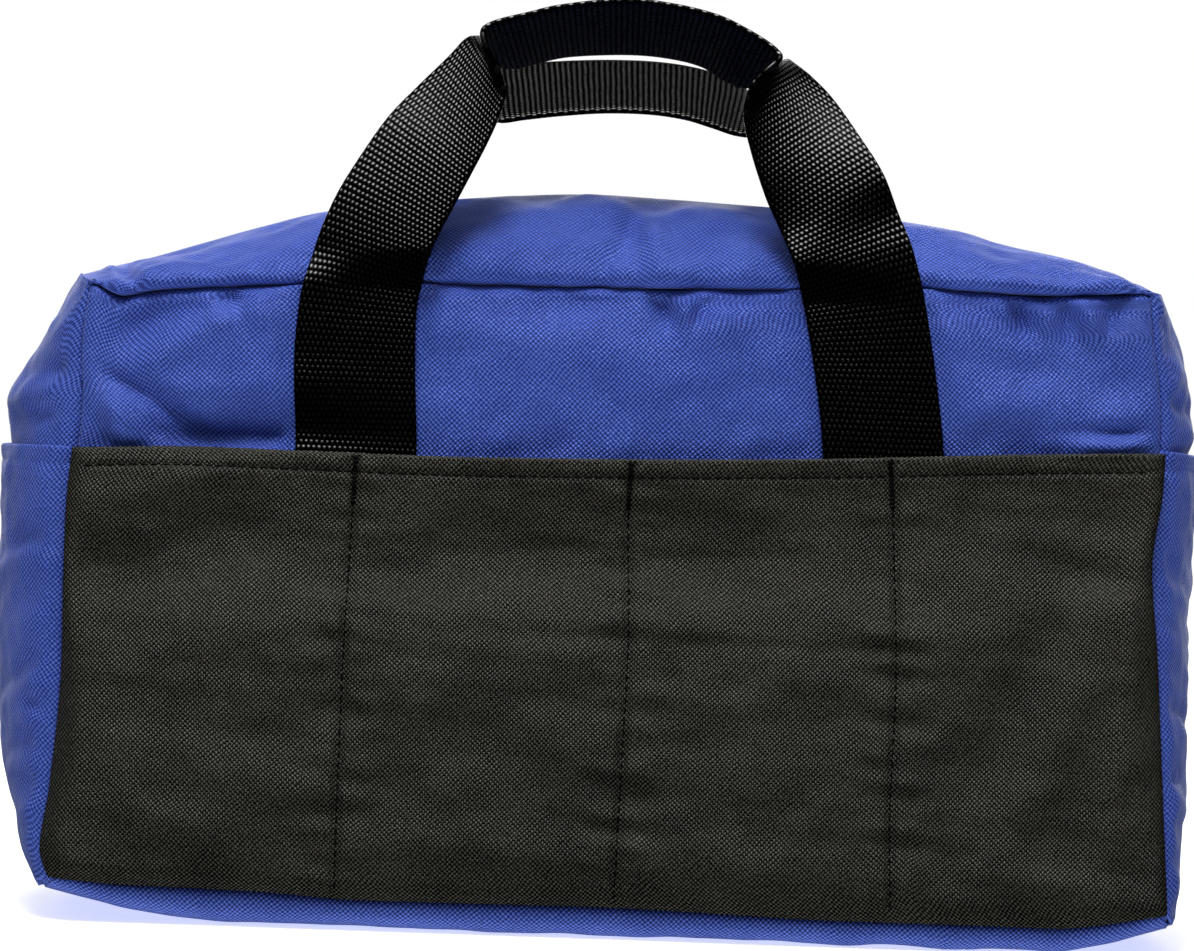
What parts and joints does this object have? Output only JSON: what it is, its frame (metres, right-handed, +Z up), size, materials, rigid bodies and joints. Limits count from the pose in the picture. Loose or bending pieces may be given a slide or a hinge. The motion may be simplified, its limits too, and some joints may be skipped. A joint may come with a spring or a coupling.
{
  "type": "tool bag",
  "caption": "Soft rectangular cloth tool bag with a zipped top, divided front pockets, end pockets and webbing carrying handles.",
  "frame": {"origin": "under the middle of the bag, on the surface it stands on", "axes": "+Z up, +X along the length to the right seen from the front, front face towards -Y"},
  "size_m": [0.4059, 0.126, 0.3098],
  "materials": {
    "blue_cloth": "plain weave polyester, matt with a slight sheen",
    "black_cloth": "plain weave polyester, matt",
    "webbing": "ribbed polypropylene webbing, slightly glossy",
    "zip_tape": "woven zip tape with a moulded chain"
  },
  "bodies": {
    "root": {"front_panel": "blue_cloth", "back_panel": "blue_cloth", "left_end": "blue_cloth", "right_end": "blue_cloth", "base": "blue_cloth", "top_front": "blue_cloth", "top_back": "blue_cloth", "zip": "zip_tape", "front_pocket": "black_cloth", "left_end_pocket": "blue_cloth", "right_end_pocket": "blue_cloth", "front_handle": "webbing", "back_handle": "webbing"}
  },
  "joints": []
}
